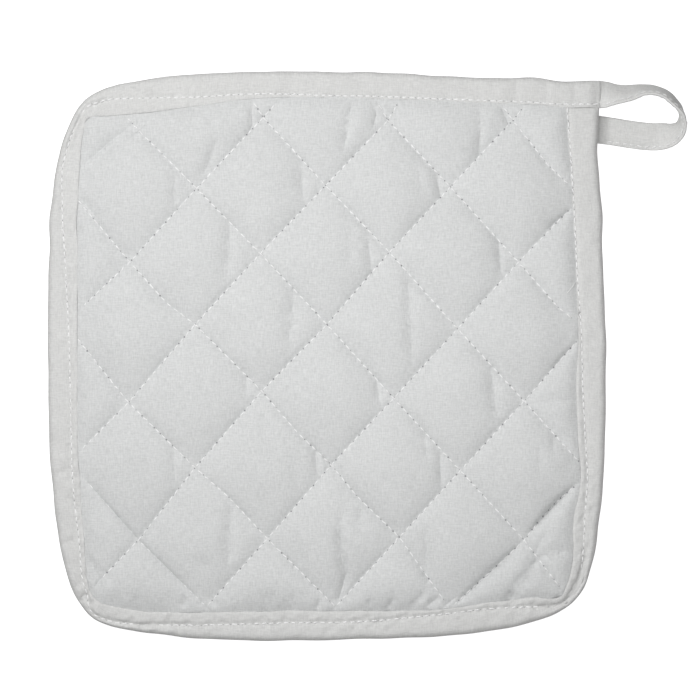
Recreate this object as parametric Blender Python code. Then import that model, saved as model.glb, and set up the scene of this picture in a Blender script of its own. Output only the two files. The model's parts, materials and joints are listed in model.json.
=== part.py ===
"""Quilted hot pad with a bound edge and a hanging loop, modelled lying on its back.

Tables are in millimetres from the middle of the pad: x runs right, y up the pad and z out of its face.
The finished solids are moved so that the origin lies in the middle of the central diamond's flat underside.
"""
import math

import bmesh
import bpy
import numpy as np
from mathutils import Vector
from mathutils.geometry import delaunay_2d_cdt

MM = 0.001
REST_POINT = (0.5, -13.0, 0.0)

# Padding and cover
CROWN_Z = 9.3
QUILT_LINE_Z = 6.0
CROSSING_DIP = 0.4
UNDER_GROOVE = 1.5
UNDER_FLATNESS = 1.6
QUILT_PITCH = 33.4
CELL_STEPS = (0.0, 0.05, 0.15, 0.32, 0.5, 0.68, 0.85, 0.95)

# Bound edge
RIM_MID_Z = 3.1
RIM_HALF = 1.1
STRIP_WALL = 0.95
STRIP_FOLD = 1.3
PAD_EDGE_SET_BACK = 2.2
LEG_CLEARANCE = 0.35
STATION_SPACING = 9.5

# Corner where the strip leaves the pad and its end comes back underneath
CORNER_LIFT = 1.6
CORNER_BOX = (84.0, 73.0, 100.0, 100.0)
LIFT_REACH = 26.0
PAD_CORNER_X = 91.5
FACE_CORNER = (84.0, 87.9)

# Binding strip, clockwise seen from above, from the top of the right side round to the upper right corner.
# Columns: outer_x, outer_y (folded edge), inner_x, inner_y (free edge of the leg),
# seam (stitching, 0 at the folded edge to 1 at the free edge).
STRIP = (
    (96.0, 88.1, 84.0, 88.1, 0.97),
    (95.5, 69.5, 85.5, 69.5, 0.97),
    (97.0, 54.0, 86.5, 54.0, 0.97),
    (97.4, 34.0, 87.5, 34.0, 0.96),
    (98.5, 6.0, 88.5, 8.0, 0.88),
    (98.5, -15.0, 88.0, -15.0, 0.77),
    (98.1, -30.0, 88.5, -30.0, 0.72),
    (97.6, -43.0, 89.4, -43.0, 0.70),
    (96.5, -56.0, 87.3, -56.0, 0.60),
    (93.1, -74.5, 86.0, -75.0, 0.50),
    (90.0, -82.8, 84.0, -81.5, 0.42),
    (86.7, -86.9, 83.0, -84.0, 0.50),
    (81.8, -90.0, 80.0, -85.0, 0.46),
    (75.2, -93.0, 74.0, -85.0, 0.61),
    (61.0, -96.1, 60.5, -86.0, 0.75),
    (40.0, -98.7, 40.0, -89.0, 0.82),
    (15.0, -99.5, 15.0, -89.5, 0.64),
    (-16.5, -100.2, -16.5, -89.5, 0.60),
    (-45.0, -99.4, -45.0, -90.0, 0.52),
    (-66.0, -97.0, -65.0, -89.5, 0.37),
    (-76.8, -95.0, -75.0, -88.0, 0.25),
    (-84.3, -91.1, -81.0, -86.0, 0.30),
    (-88.0, -86.0, -83.0, -83.5, 0.70),
    (-91.1, -79.0, -84.5, -78.5, 0.75),
    (-94.4, -66.5, -85.5, -66.5, 0.80),
    (-96.9, -47.0, -87.0, -47.0, 0.75),
    (-98.3, -24.0, -88.0, -24.0, 0.78),
    (-98.6, 2.5, -88.0, 2.5, 0.73),
    (-98.4, 30.5, -88.0, 30.5, 0.60),
    (-97.5, 53.5, -88.0, 52.5, 0.44),
    (-95.0, 70.0, -87.0, 69.5, 0.29),
    (-92.2, 79.5, -86.0, 79.0, 0.40),
    (-89.2, 86.3, -85.0, 83.5, 0.50),
    (-85.6, 90.6, -83.0, 84.5, 0.40),
    (-80.3, 94.2, -78.5, 85.0, 0.43),
    (-66.0, 97.7, -65.0, 86.0, 0.55),
    (-46.5, 100.0, -46.0, 88.5, 0.72),
    (-27.0, 100.8, -27.0, 91.0, 0.82),
    (1.0, 100.8, 1.0, 91.5, 0.92),
    (17.0, 100.7, 17.0, 91.2, 0.92),
    (33.0, 99.7, 33.0, 90.5, 0.91),
    (61.0, 98.7, 61.0, 89.5, 0.91),
    (70.0, 98.7, 70.0, 89.0, 0.90),
    (82.0, 97.5, 82.0, 88.5, 0.93),
    (93.0, 97.5, 93.0, 88.5, 0.92),
    (96.5, 97.5, 96.5, 88.5, 0.92),
)

# Where quilting lines cross. Columns: x, y.
CROSSING = {
    "a1": (-66.5, 80.0), "a2": (-22.5, 84.5), "a3": (21.5, 83.5), "a4": (65.5, 83.5),
    "b1": (-46.0, 59.5), "b2": (-0.5, 60.5), "b3": (43.5, 60.0), "b4": (87.0, 59.0),
    "c1": (-69.5, 33.5), "c2": (-23.5, 36.5), "c3": (22.0, 37.0), "c4": (67.5, 33.5),
    "d1": (-46.5, 11.5), "d2": (0.0, 11.5), "d3": (46.0, 10.0), "d4": (88.0, 12.5),
    "e1": (-70.0, -16.0), "e2": (-23.0, -12.0), "e3": (23.5, -14.5), "e4": (69.5, -15.5),
    "f1": (-46.5, -39.0), "f2": (1.5, -38.0), "f3": (47.0, -40.0), "f4": (88.5, -36.5),
    "g1": (-66.5, -64.5), "g2": (-21.0, -64.0), "g3": (25.5, -63.5), "g4": (69.5, -64.5),
}

# Quilting lines from edge to edge: first end, crossings and bends on the way, last end.
FALLING = (
    ((-87.5, -40.5), (-81.5, -47.5), "g1", (-42.5, -88.0)),
    ((-88.0, 6.5), "e1", "f1", (-34.5, -49.5), "g2", (3.0, -88.0)),
    ((-88.0, 55.5), "c1", (-56.5, 19.0), "d1", "e2", (-10.5, -26.5), "f2", (10.5, -49.0), "g3", (42.5, -87.5)),
    ((-70.5, 84.5), "a1", "b1", "c2", "d2", "e3", "f3", "g4", (82.0, -81.0)),
    ((-26.0, 90.0), "a2", "b2", "c3", "d3", "e4", "f4"),
    ((18.0, 89.5), "a3", "b3", "c4", (81.5, 17.5), "d4"),
    ((62.0, 88.5), "a4", (77.5, 68.0), "b4"),
)
RISING = (
    ((-87.0, 64.0), (-76.0, 73.5), "a1", (-59.5, 86.5)),
    ((-86.0, 18.0), "c1", "b1", "a2", (-18.0, 89.5)),
    ((-86.5, -32.5), "e1", "d1", "c2", "b2", "a3", (25.0, 89.5)),
    ((-79.5, -78.0), "g1", "f1", "e2", "d2", "c3", "b3", "a4", (70.0, 89.0)),
    ((-42.5, -88.0), "g2", "f2", "e3", "d3", "c4", (80.5, 47.0), (87.0, 53.5)),
    ((3.0, -88.0), "g3", "f3", "e4", (88.0, 5.5)),
    ((44.0, -88.0), (61.0, -72.5), "g4", (74.5, -58.0), (81.0, -51.0), (88.0, -45.0)),
)

# Loop of folded strip, from the upper right corner round to the end tucked under the right side.
# Columns: x, y, z of the middle, roll in degrees (0 face up, 180 face down), thickness.
LOOP = (
    (97.0, 93.0, 4.7, 0.0, 2.4),
    (99.2, 93.0, 4.7, 22.0, 2.0),
    (101.5, 92.7, 4.8, 39.0, 1.8),
    (107.0, 93.2, 4.9, 55.0, 1.7),
    (111.5, 94.2, 5.0, 66.0, 1.8),
    (115.0, 94.1, 5.0, 70.0, 1.9),
    (119.0, 92.8, 5.0, 71.0, 1.9),
    (122.3, 90.0, 5.0, 73.0, 1.9),
    (124.3, 87.5, 5.0, 79.0, 1.9),
    (125.2, 85.0, 5.0, 90.0, 1.9),
    (125.0, 82.3, 4.8, 106.0, 1.8),
    (123.3, 80.0, 4.0, 132.0, 1.7),
    (120.8, 78.6, 2.5, 155.0, 1.5),
    (117.5, 78.0, 1.2, 172.0, 1.5),
    (114.0, 78.0, 0.85, 180.0, 1.5),
    (108.5, 78.6, 0.8, 180.0, 1.5),
    (101.5, 79.7, 0.8, 180.0, 1.5),
    (96.5, 80.4, 0.8, 180.0, 1.5),
    (84.8, 81.2, 0.8, 180.0, 1.5),
)
LOOP_WIDTH = 9.8

# Section of the loop's strip. Columns: across as a share of the half width, out as a share of the half thickness.
LOOP_SECTION = (
    (-1.0, 0.5), (-0.8, 0.75), (-0.35, 1.0), (0.4, 1.0), (0.93, 0.75), (1.0, 0.0),
    (0.93, -0.75), (0.4, -1.0), (-0.35, -1.0), (-0.8, -0.75), (-1.0, -0.5),
)

COLOURS = {
    "quilted_pad": (0.68, 0.68, 0.67, 1.0),
    "binding": (0.66, 0.66, 0.65, 1.0),
    "hanging_loop": (0.63, 0.63, 0.62, 1.0),
}


def smooth(t):
    t = np.clip(t, 0.0, 1.0)
    return t * t * (3.0 - 2.0 * t)


def spline(rows, steps):
    """Smooth curve through the rows of a table, with the given number of steps in each span."""
    rows = np.array(rows, dtype=float)
    along = np.concatenate([[0.0], np.cumsum(np.linalg.norm(np.diff(rows[:, :2], axis=0), axis=1))])
    slopes = np.gradient(rows, along, axis=0)
    out = []
    for k, count in enumerate(steps):
        span = along[k + 1] - along[k]
        for step in range(count):
            t = step / count
            out.append((2 * t**3 - 3 * t**2 + 1) * rows[k] + (t**3 - 2 * t**2 + t) * span * slopes[k]
                       + (3 * t**2 - 2 * t**3) * rows[k + 1] + (t**3 - t**2) * span * slopes[k + 1])
    out.append(rows[-1])
    return np.array(out)


def corner_lift(points):
    """How far the upper right corner is raised by the loop's end lying under it."""
    x_low, y_low, x_high, y_high = CORNER_BOX
    away_x = np.maximum(np.maximum(x_low - points[:, 0], points[:, 0] - x_high), 0.0)
    away_y = np.maximum(np.maximum(y_low - points[:, 1], points[:, 1] - y_high), 0.0)
    away = np.maximum(np.hypot(away_x, away_y) - 1.0, 0.0)
    return CORNER_LIFT * (1.0 - smooth(away / LIFT_REACH))


def line_points(line):
    return np.array([CROSSING[place] if isinstance(place, str) else place for place in line])


def signed_gap(points, line):
    """Distance from a quilting line, positive on the right of a line read from its first end."""
    places = line_points(line)
    chord = places[-1] - places[0]
    chord /= np.linalg.norm(chord)
    side = np.array([chord[1], -chord[0]])
    knots = places - places[0]
    offsets = points - places[0]
    return offsets @ side - np.interp(offsets @ chord, knots @ chord, knots @ side)


def across_family(points, lines, sign):
    """Place of each point across a family of lines: 0 on the first line, 1 on the second, and so on."""
    gaps = np.array([sign * signed_gap(points, line) for line in lines])
    last = len(lines) - 1
    below = (gaps > 0.0).sum(axis=0) - 1
    picked = np.clip(below, 0, last - 1)
    column = np.arange(len(points))
    low, high = gaps[picked, column], gaps[picked + 1, column]
    inside = picked + low / np.maximum(low - high, 1e-6)
    outside = np.where(below < 0, gaps[0] / QUILT_PITCH, last + gaps[last] / QUILT_PITCH)
    return np.where((below < 0) | (below >= last), outside, inside)


def cell_place(points):
    return np.column_stack([across_family(points, FALLING, -1.0), across_family(points, RISING, 1.0)])


def place_cells(targets):
    """Points of the face whose places across the two families are the given ones."""
    known = np.array(list(CROSSING.values()))
    cells = cell_place(known)
    fit = np.linalg.lstsq(np.column_stack([cells, np.ones(len(known))]), known, rcond=None)[0]
    points = np.column_stack([targets, np.ones(len(targets))]) @ fit
    for _ in range(60):
        points = points + 0.8 * (targets - cell_place(points)) @ fit[:2]
    return points


def distance_inside(points, ring):
    """Distance in from a closed ring, negative outside it."""
    start, end = ring, np.roll(ring, -1, axis=0)
    run = end - start
    offset = points[:, None, :] - start[None]
    share = np.clip((offset * run).sum(axis=2) / (run * run).sum(axis=1), 0.0, 1.0)
    nearest = np.linalg.norm(offset - share[..., None] * run, axis=2).min(axis=1)
    above = (start[:, 1] > points[:, 1, None]) != (end[:, 1] > points[:, 1, None])
    rise = np.where(np.abs(run[:, 1]) < 1e-9, 1e-9, run[:, 1])
    hit_x = start[:, 0] + (points[:, 1, None] - start[:, 1]) / rise * run[:, 0]
    inside = (above & (points[:, 0, None] < hit_x)).sum(axis=1) % 2 == 1
    return np.where(inside, nearest, -nearest)


def strip_stations():
    rows = np.array(STRIP)
    lengths = np.linalg.norm(np.diff(rows[:, :2], axis=0), axis=1)
    steps = [max(2 if length > 4.5 else 1, round(length / STATION_SPACING)) for length in lengths]
    return spline(rows, steps)


def new_object(name, vertices, faces):
    mesh = bpy.data.meshes.new(name)
    body = bmesh.new()
    origin = Vector(REST_POINT)
    made = [body.verts.new((Vector(vertex) - origin) * MM) for vertex in vertices]
    for face in faces:
        body.faces.new([made[k] for k in face])
    bmesh.ops.recalc_face_normals(body, faces=body.faces)
    body.to_mesh(mesh)
    body.free()
    material = bpy.data.materials.new(name)
    material.use_nodes = True
    shader = material.node_tree.nodes["Principled BSDF"]
    shader.inputs["Base Color"].default_value = COLOURS[name]
    shader.inputs["Roughness"].default_value = 0.9
    mesh.materials.append(material)
    thing = bpy.data.objects.new(name, mesh)
    bpy.context.scene.collection.objects.link(thing)
    return thing


def skin(sections, cap):
    """Closed body through a row of equal sections; cap lists each end face by places in the section."""
    count = len(sections[0])
    vertices = [point for section in sections for point in section]
    faces = []
    for k in range(len(sections) - 1):
        for j in range(count):
            a, b = k * count + j, k * count + (j + 1) % count
            faces.append((a, b, b + count, a + count))
    end = (len(sections) - 1) * count
    for face in cap:
        faces.append(tuple(face))
        faces.append(tuple(end + j for j in reversed(face)))
    return vertices, faces


def top_height(cells, inside, lift):
    share = cells - np.floor(cells)
    puff = (16.0 * share[:, 0] * (1 - share[:, 0]) * share[:, 1] * (1 - share[:, 1])) ** 0.6
    near = np.abs(cells - np.round(cells)) * QUILT_PITCH
    crossing = CROSSING_DIP * np.exp(-(near**2).sum(axis=1) / 16.0)
    depth = np.maximum(inside, 0.0)
    rim = RIM_MID_Z + RIM_HALF
    base = (QUILT_LINE_Z - rim) * (1.0 - np.exp(-depth / 1.2)) - crossing * smooth(depth / 6.0)
    swell = (1.0 - (1.0 - np.clip(depth / 14.0, 0.0, 1.0)) ** 2) ** 0.6
    return rim + base + (CROWN_Z - QUILT_LINE_Z) * puff * swell + lift


def under_height(cells, inside, lift):
    share = cells - np.floor(cells)
    puff = (16.0 * share[:, 0] * (1 - share[:, 0]) * share[:, 1] * (1 - share[:, 1])) ** 0.6
    groove = UNDER_GROOVE * (1.0 - np.minimum(1.0, UNDER_FLATNESS * puff))
    depth = np.maximum(inside, 0.0)
    rim = (RIM_MID_Z - RIM_HALF) * (1.0 - smooth(depth / 5.0))
    return rim + groove * (1.0 - rim / 2.2) * smooth((depth - 0.5) / 2.0) + lift


def face_ring(inner, inward, gap):
    """Closed ring a given gap in from the legs' free edges, with a square upper right corner."""
    ring = inner + gap * inward
    corner = np.array(FACE_CORNER) - gap
    first_half = np.arange(len(ring)) < len(ring) // 2
    kept = np.where(first_half, ring[:, 1] < corner[1] - 1.5, ring[:, 0] < corner[0] - 1.5)
    return np.concatenate([ring[kept], [corner]])


def insert_line_hits(ring):
    """Add to a ring the places where quilting lines cross it."""
    out = []
    cells = cell_place(ring)
    for k, point in enumerate(ring):
        after = (k + 1) % len(ring)
        hits = []
        for family in (0, 1):
            low, high = cells[k, family], cells[after, family]
            level = math.ceil(min(low, high))
            if level < max(low, high) and abs(high - low) > 1e-9:
                hits.append((level - low) / (high - low))
        out.append(point)
        for share in sorted(hits):
            out.append(point + share * (ring[after] - point))
    kept = []
    out = np.array(out)
    on_line = np.abs(cell_place(out) - np.round(cell_place(out))).min(axis=1) < 0.012
    for k in range(len(out)):
        neighbours = (out[k - 1], out[(k + 1) % len(out)])
        near = min(np.linalg.norm(out[k] - other) for other in neighbours)
        if on_line[k] or near > 1.3:
            kept.append(out[k])
    return np.array(kept)


def make_pad(stations):
    outer, inner = stations[:, 0:2], stations[:, 2:4]
    inward = (inner - outer) / np.linalg.norm(inner - outer, axis=1)[:, None]
    edge = outer + PAD_EDGE_SET_BACK * inward
    edge[:, 0] = np.minimum(edge[:, 0], np.where(edge[:, 1] > 88.0, PAD_CORNER_X, 1e3))
    edge = edge[np.linalg.norm(edge - np.roll(edge, 1, axis=0), axis=1) > 0.4]
    leg_ring = face_ring(inner, inward, LEG_CLEARANCE)
    near_ring = insert_line_hits(face_ring(inner, inward, LEG_CLEARANCE + 0.9))
    swell_ring = insert_line_hits(face_ring(inner, inward, LEG_CLEARANCE + 3.2))

    steps = [level + part for level in range(-1, 7) for part in CELL_STEPS]
    targets = np.array([(a, b) for a in steps for b in steps])
    lattice = place_cells(targets)
    lattice = lattice[distance_inside(lattice, leg_ring) > 4.6]

    rings = [edge, leg_ring, near_ring, swell_ring]
    points = np.concatenate(rings + [lattice])
    edges = []
    start = 0
    for ring in rings:
        count = len(ring)
        edges += [(start + k, start + (k + 1) % count) for k in range(count)]
        start += count
    first_free = len(edge) + len(leg_ring)
    cells = cell_place(points)
    for family in (0, 1):
        for level in range(7):
            on_line = [k for k in range(first_free, len(points)) if abs(cells[k, family] - level) < 0.012]
            on_line.sort(key=lambda k: cells[k, 1 - family])
            edges += [(a, b) for a, b in zip(on_line, on_line[1:])
                      if np.linalg.norm(points[a] - points[b]) < 12.0]
    outline = list(range(len(edge)))
    if sum(edge[k - 1, 0] * edge[k, 1] - edge[k, 0] * edge[k - 1, 1] for k in outline) < 0:
        outline.reverse()
    flat = [Vector((float(x), float(y))) for x, y in points]
    verts, _, faces, sources, _, _ = delaunay_2d_cdt(flat, edges, [outline], 1, 1e-4)
    spots = np.array([(vertex.x, vertex.y) for vertex in verts])
    cells = cell_place(spots)
    cells = np.where(np.abs(cells - np.round(cells)) < 0.012, np.round(cells), cells)
    inside = distance_inside(spots, leg_ring)
    lift = corner_lift(spots)
    top = np.column_stack([spots, top_height(cells, inside, lift)])
    under = np.column_stack([spots, under_height(cells, inside, lift)])
    count = len(spots)
    body_faces = [tuple(face) for face in faces]
    body_faces += [tuple(count + k for k in reversed(face)) for face in faces]
    uses = {}
    for face in faces:
        for a, b in zip(face, list(face[1:]) + [face[0]]):
            uses[(min(a, b), max(a, b))] = uses.get((min(a, b), max(a, b)), 0) + 1
    body_faces += [(a, b, b + count, a + count) for (a, b), used in uses.items() if used == 1]
    return new_object("quilted_pad", np.concatenate([top, under]).tolist(), body_faces)


def make_binding(stations):
    lift = corner_lift((stations[:, 0:2] + stations[:, 2:4]) / 2.0)
    sections = []
    for row, raised in zip(stations, lift):
        outer, inner, seam = row[0:2], row[2:4], float(np.clip(row[4], 0.22, 0.9))
        width = float(np.linalg.norm(inner - outer))
        inward = (inner - outer) / width
        bulge = min(1.0, (1.0 - seam) / 0.35)
        shoulder = max(1.75, 0.5 * seam * width)
        closing = 1.0
        if outer[1] > 90.0:
            closing = 1.0 - 0.38 * float(smooth((outer[0] - 93.0) / 3.5))
        outside = [(0.6, 1.85), (shoulder, 2.85), (seam * width, 2.4),
                   ((1.0 + seam) / 2.0 * width, 2.4 + 0.45 * bulge), (width, 2.4 + 0.35 * bulge)]
        inside = [(1.45, 1.35)] + [(a, z - STRIP_WALL) for a, z in outside[1:]]
        profile = [(a, z) for a, z in reversed(outside)] + [(0.0, 0.0)] + [(a, -z) for a, z in outside]
        profile += [(a, -z) for a, z in reversed(inside)] + [(STRIP_FOLD, 0.0)] + list(inside)
        sections.append([(*(outer + inward * a), RIM_MID_Z + raised + z * closing) for a, z in profile])
    count = len(sections[0])
    cap = [(k, k + 1, count - 2 - k, count - 1 - k) for k in range(count // 2 - 1)]
    vertices, faces = skin(sections, cap)
    return new_object("binding", vertices, faces)


def make_loop():
    rows = np.array(LOOP)
    lengths = np.linalg.norm(np.diff(rows[:, :2], axis=0), axis=1)
    path = spline(rows, [2 if length < 8.0 else 1 for length in lengths])
    run = np.gradient(path[:, :2], axis=0)
    run /= np.linalg.norm(run, axis=1)[:, None]
    sections = []
    for row, ahead in zip(path, run):
        outward = np.array([-ahead[1], ahead[0], 0.0])
        roll = math.radians(float(np.clip(row[3], 0.0, 180.0)))
        up = np.array([0.0, 0.0, 1.0])
        across = math.cos(roll) * outward - math.sin(roll) * up
        facing = math.cos(roll) * up + math.sin(roll) * outward
        sections.append([row[:3] + across * a * LOOP_WIDTH / 2.0 + facing * b * row[4] / 2.0
                         for a, b in LOOP_SECTION])
    count = len(LOOP_SECTION)
    cap = [(k, k + 1, count - 2 - k, count - 1 - k) for k in range(count // 2 - 1)]
    cap.append((count // 2 - 1, count // 2, count // 2 + 1))
    vertices, faces = skin(sections, cap)
    return new_object("hanging_loop", vertices, faces)


for thing in list(bpy.data.objects):
    bpy.data.objects.remove(thing, do_unlink=True)

strip = strip_stations()
make_pad(strip)
make_binding(strip)
make_loop()
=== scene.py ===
"""Looks of the quilted hot pad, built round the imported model.

Tables are in millimetres from the middle of the pad, as in the part's source:
x right, y up the pad, z out of its face.
"""
import json
import math

import bmesh
import bpy
import numpy as np
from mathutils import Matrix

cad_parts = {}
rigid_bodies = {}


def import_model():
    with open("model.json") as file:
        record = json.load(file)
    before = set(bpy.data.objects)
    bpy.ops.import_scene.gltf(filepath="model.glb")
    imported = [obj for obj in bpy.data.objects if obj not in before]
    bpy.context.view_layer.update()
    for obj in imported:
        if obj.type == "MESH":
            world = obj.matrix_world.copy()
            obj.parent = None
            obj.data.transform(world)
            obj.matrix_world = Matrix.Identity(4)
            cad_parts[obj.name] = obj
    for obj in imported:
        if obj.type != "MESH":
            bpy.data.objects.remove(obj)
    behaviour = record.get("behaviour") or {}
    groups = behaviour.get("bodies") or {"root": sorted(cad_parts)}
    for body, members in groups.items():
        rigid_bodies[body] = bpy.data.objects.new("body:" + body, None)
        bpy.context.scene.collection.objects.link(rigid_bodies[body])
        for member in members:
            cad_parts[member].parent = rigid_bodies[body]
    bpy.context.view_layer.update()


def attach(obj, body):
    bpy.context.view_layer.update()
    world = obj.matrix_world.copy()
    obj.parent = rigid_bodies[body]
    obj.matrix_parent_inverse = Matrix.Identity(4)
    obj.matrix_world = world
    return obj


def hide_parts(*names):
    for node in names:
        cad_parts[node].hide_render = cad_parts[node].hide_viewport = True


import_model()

MM = 0.001
REST_POINT = np.array((0.5, -13.0, 0.0))
BODY = "root"

# Sizes shared with the solids
CROWN_Z = 9.3
QUILT_LINE_Z = 6.0
QUILT_PITCH = 33.4
RIM_MID_Z = 3.1
RIM_HALF = 1.1
STRIP_WALL = 0.95
CORNER_LIFT = 1.6
CORNER_BOX = (84.0, 73.0, 100.0, 100.0)
CORNER_MARGIN = 1.0
CORNER_CUT = 1.5
LIFT_REACH = 26.0
PAD_CORNER_X = 91.5
FACE_CORNER = (84.0, 87.9)
LEG_CLEARANCE = 0.05
PAD_EDGE_INSET = 2.2
UNDER_CLEARANCE = 0.01

# Sewing
QUILT_STITCH = 3.0
QUILT_STITCH_SHOWN = 2.1
EDGE_STITCH = 2.6
EDGE_STITCH_SHOWN = 1.85
LOOP_STITCH_SHOWN = 1.9
THREAD_RADIUS = 0.20
EDGE_THREAD_RADIUS = 0.24
STRAY_THREAD_RADIUS = 0.11

# Binding strip. Columns: outer_x, outer_y, inner_x, inner_y, seam.
STRIP = (
    (96.0, 88.3, 84.0, 88.3, 0.97),
    (95.5, 69.5, 85.5, 69.5, 0.97),
    (97.0, 54.0, 86.5, 54.0, 0.97),
    (97.4, 34.0, 87.5, 34.0, 0.96),
    (98.5, 6.0, 88.5, 8.0, 0.88),
    (98.5, -15.0, 88.0, -15.0, 0.77),
    (98.1, -30.0, 88.5, -30.0, 0.72),
    (97.6, -43.0, 89.4, -43.0, 0.70),
    (96.5, -56.0, 87.3, -56.0, 0.60),
    (93.1, -74.5, 86.0, -75.0, 0.50),
    (90.0, -82.8, 84.0, -81.5, 0.42),
    (86.7, -86.9, 83.0, -84.0, 0.50),
    (81.8, -90.0, 80.0, -85.0, 0.46),
    (75.2, -93.0, 74.0, -85.0, 0.61),
    (61.0, -96.1, 60.5, -86.0, 0.75),
    (40.0, -98.7, 40.0, -89.0, 0.82),
    (15.0, -99.5, 15.0, -89.5, 0.64),
    (-16.5, -100.2, -16.5, -89.5, 0.60),
    (-45.0, -99.4, -45.0, -90.0, 0.52),
    (-66.0, -97.0, -65.0, -89.5, 0.37),
    (-76.8, -95.0, -75.0, -88.0, 0.25),
    (-84.3, -91.1, -81.0, -86.0, 0.30),
    (-88.0, -86.0, -83.0, -83.5, 0.70),
    (-91.1, -79.0, -84.5, -78.5, 0.75),
    (-94.4, -66.5, -85.5, -66.5, 0.80),
    (-96.9, -47.0, -87.0, -47.0, 0.75),
    (-98.3, -24.0, -88.0, -24.0, 0.78),
    (-98.6, 2.5, -88.0, 2.5, 0.73),
    (-98.4, 30.5, -88.0, 30.5, 0.60),
    (-97.5, 53.5, -88.0, 52.5, 0.44),
    (-95.0, 70.0, -87.0, 69.5, 0.29),
    (-92.2, 79.5, -86.0, 79.0, 0.40),
    (-89.2, 86.3, -85.0, 83.5, 0.50),
    (-85.6, 90.6, -83.0, 84.5, 0.40),
    (-80.3, 94.2, -78.5, 85.0, 0.43),
    (-66.0, 97.7, -65.0, 86.0, 0.55),
    (-46.5, 100.0, -46.0, 88.5, 0.72),
    (-27.0, 100.8, -27.0, 91.0, 0.82),
    (1.0, 100.8, 1.0, 91.5, 0.92),
    (17.0, 100.7, 17.0, 91.2, 0.92),
    (33.0, 99.7, 33.0, 90.5, 0.91),
    (61.0, 98.7, 61.0, 89.5, 0.91),
    (70.0, 98.7, 70.0, 89.0, 0.90),
    (82.0, 97.5, 82.0, 88.1, 0.89),
    (93.0, 97.5, 93.0, 87.9, 0.87),
    (96.5, 97.5, 96.5, 87.9, 0.87),
)

# Where quilting lines cross. Columns: x, y.
CROSSING = {
    "a1": (-66.5, 80.0), "a2": (-22.5, 84.5), "a3": (21.5, 83.5), "a4": (65.5, 83.5),
    "b1": (-46.0, 59.5), "b2": (-0.5, 60.5), "b3": (43.5, 60.0), "b4": (87.0, 59.0),
    "c1": (-69.5, 33.5), "c2": (-23.5, 36.5), "c3": (22.0, 37.0), "c4": (67.5, 33.5),
    "d1": (-46.5, 11.5), "d2": (0.0, 11.5), "d3": (46.0, 10.0), "d4": (88.0, 12.5),
    "e1": (-70.0, -16.0), "e2": (-23.0, -12.0), "e3": (23.5, -14.5), "e4": (69.5, -15.5),
    "f1": (-46.5, -39.0), "f2": (1.5, -38.0), "f3": (47.0, -40.0), "f4": (88.5, -36.5),
    "g1": (-66.5, -64.5), "g2": (-21.0, -64.0), "g3": (25.5, -63.5), "g4": (69.5, -64.5),
}
FALLING = (
    ((-87.5, -40.5), (-81.5, -47.5), "g1", (-42.5, -88.0)),
    ((-88.0, 6.5), "e1", "f1", (-34.5, -49.5), "g2", (3.0, -88.0)),
    ((-88.0, 55.5), "c1", (-56.5, 19.0), "d1", "e2", (-10.5, -26.5), "f2", (10.5, -49.0), "g3",
     (42.5, -87.5)),
    ((-70.5, 84.5), "a1", "b1", "c2", "d2", "e3", "f3", "g4", (82.0, -81.0)),
    ((-26.0, 90.0), "a2", "b2", "c3", "d3", "e4", "f4"),
    ((18.0, 89.5), "a3", "b3", "c4", (81.5, 17.5), "d4"),
    ((62.0, 88.5), "a4", (77.5, 68.0), "b4"),
)
RISING = (
    ((-87.0, 64.0), (-76.0, 73.5), "a1", (-59.5, 86.5)),
    ((-86.0, 18.0), "c1", "b1", "a2", (-18.0, 89.5)),
    ((-86.5, -32.5), "e1", "d1", "c2", "b2", "a3", (25.0, 89.5)),
    ((-79.5, -78.0), "g1", "f1", "e2", "d2", "c3", "b3", "a4", (70.0, 89.0)),
    ((-42.5, -88.0), "g2", "f2", "e3", "d3", "c4", (80.5, 47.0), (87.0, 53.5)),
    ((3.0, -88.0), "g3", "f3", "e4", (88.0, 5.5)),
    ((44.0, -88.0), (61.0, -72.5), "g4", (74.5, -58.0), (81.0, -51.0), (88.0, -45.0)),
)

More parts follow.
